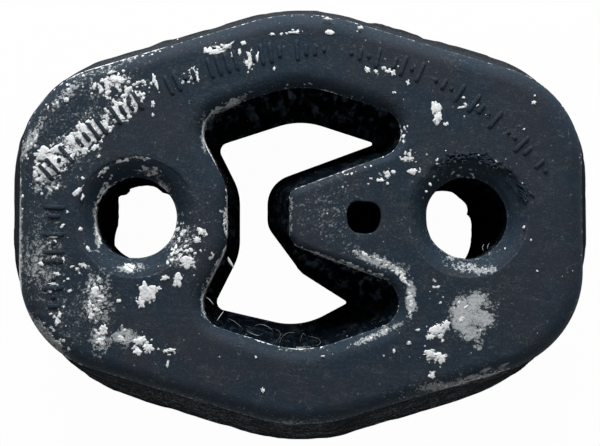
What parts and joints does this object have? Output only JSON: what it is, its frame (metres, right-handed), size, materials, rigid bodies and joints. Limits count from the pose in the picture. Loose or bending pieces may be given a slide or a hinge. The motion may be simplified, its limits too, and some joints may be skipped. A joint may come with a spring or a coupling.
{
  "type": "exhaust hanger rubber",
  "caption": "Moulded rubber exhaust hanger: a six-sided block with a rod bore at each end and a C-shaped opening between two arms, into which a tapered stop nose reaches.",
  "frame": {"origin": "centre of the back face's plane, halfway between the two bores; the part lies on its back face", "axes": "+X from the boss's bore to the nose's bore, +Y across the arms, +Z out of the front face"},
  "size_m": [0.0802, 0.0602, 0.03],
  "materials": {
    "rubber": "satin blue-black rubber, scuffed at the edges, with chalky white deposit in patches"
  },
  "bodies": {
    "root": {"hanger_rubber": "rubber"}
  },
  "joints": []
}
